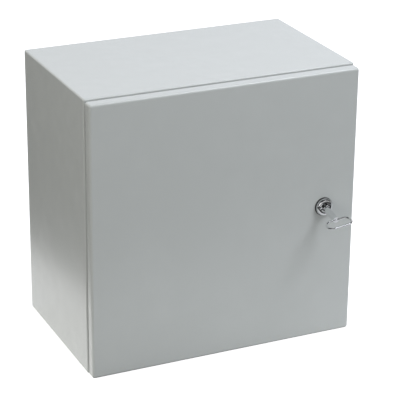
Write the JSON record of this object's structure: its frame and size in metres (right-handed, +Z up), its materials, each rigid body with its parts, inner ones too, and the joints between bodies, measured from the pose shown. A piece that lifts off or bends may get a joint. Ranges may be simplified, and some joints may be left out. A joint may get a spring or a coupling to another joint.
{
  "type": "wall-mounted electrical cabinet",
  "caption": "Wall-mounted folded steel cabinet for a signal controller: sealed door on concealed hinges, quarter-turn lock with loop key, equipment on rails inside.",
  "frame": {"origin": "centre of the four wall-fixing holes, on the outside of the rear wall", "axes": "+X to the right as seen from the door, +Y rearwards into the wall, +Z up; the door faces -Y"},
  "size_m": [0.4, 0.3066, 0.4],
  "materials": {
    "cabinet_paint": "satin powder coat",
    "chrome": "polished",
    "zinc_steel": "zinc plated",
    "galvanised": "galvanised",
    "hinge_metal": "black satin",
    "foam_seal": "matt foam",
    "rubber": "matt",
    "light_plastic": "matt",
    "module_plastic": "matt",
    "dark_plastic": "matt",
    "red_plastic": "satin",
    "green_plastic": "satin",
    "terminal_plastic": "matt",
    "earth_plastic": "matt",
    "relay_plastic": "smoked",
    "case_metal": "anodised",
    "display_pane": "gloss",
    "lens_red": "gloss",
    "lens_amber": "gloss",
    "lens_green": "gloss"
  },
  "bodies": {
    "cabinet": {"body_earth_nut": "zinc_steel", "body_earth_stud": "zinc_steel", "breaker_housing": "light_plastic", "cabinet_shell": "cabinet_paint", "conflict_monitor": "light_plastic", "controller_case": "module_plastic", "controller_cover": "dark_plastic", "controller_display": "display_pane", "controller_plugs": "green_plastic", "driver_plugs": "green_plastic", "earth_terminals": "earth_plastic", "end_clamps": "dark_plastic", "flash_relays": "relay_plastic", "gland_gasket": "rubber", "gland_nuts": "zinc_steel", "gland_plate": "cabinet_paint", "gland_studs": "zinc_steel", "hinge_bracket_lower": "hinge_metal", "hinge_bracket_upper": "hinge_metal", "hinge_pin_lower": "zinc_steel", "hinge_pin_upper": "zinc_steel", "lamp_driver_1": "module_plastic", "lamp_driver_2": "module_plastic", "lamp_driver_3": "module_plastic", "lamp_driver_4": "module_plastic", "lenses_amber": "lens_amber", "lenses_green": "lens_green", "lenses_red": "lens_red", "mounting_plate": "galvanised", "mounting_studs": "zinc_steel", "plate_nuts": "zinc_steel", "plate_washers": "zinc_steel", "power_supply": "case_metal", "rail_lower": "zinc_steel", "rail_middle": "zinc_steel", "rail_screws": "zinc_steel", "rail_upper": "zinc_steel", "relay_bases": "dark_plastic", "surge_base": "light_plastic", "surge_cartridges": "red_plastic", "terminal_screws": "zinc_steel", "terminals": "terminal_plastic"},
    "door": {"door_panel": "cabinet_paint", "door_gasket": "foam_seal", "door_strip_left": "cabinet_paint", "door_strip_right": "cabinet_paint", "door_earth_stud": "zinc_steel", "door_earth_nut": "zinc_steel", "hinge_leaf_upper": "hinge_metal", "hinge_leaf_lower": "hinge_metal", "lock_housing": "chrome", "lock_seal": "rubber", "lock_nut": "zinc_steel"},
    "lock_barrel": {"lock_insert": "chrome", "lock_cam": "zinc_steel", "cam_screw": "zinc_steel"},
    "loop_key": {"key": "chrome"},
    "breaker_lever": {"breaker_toggle": "dark_plastic"},
    "reset_button": {"monitor_button": "red_plastic"}
  },
  "joints": [
    {"name": "door_hinge", "type": "hinge", "parent": "cabinet", "child": "door", "pos_m": [-0.1942, -0.241, 0], "axis": [0, 0, -1], "range_deg": [0, 120]},
    {"name": "lock_turn", "type": "hinge", "parent": "door", "child": "lock_barrel", "pos_m": [0.15, -0.25, 0], "axis": [0, 1, 0], "range_deg": [0, 90]},
    {"name": "key_withdraw", "type": "slide", "parent": "lock_barrel", "child": "loop_key", "axis": [0, -0.9848, -0.1736], "range_m": [0, 0.045]},
    {"name": "breaker_switch", "type": "hinge", "parent": "cabinet", "child": "breaker_lever", "pos_m": [-0.0743, -0.076, 0.0965], "axis": [1, 0, 0], "range_deg": [0, 60]},
    {"name": "reset_press", "type": "slide", "parent": "cabinet", "child": "reset_button", "axis": [0, 1, 0], "range_m": [0, 0.002], "stiffness_N_per_m": 400}
  ]
}
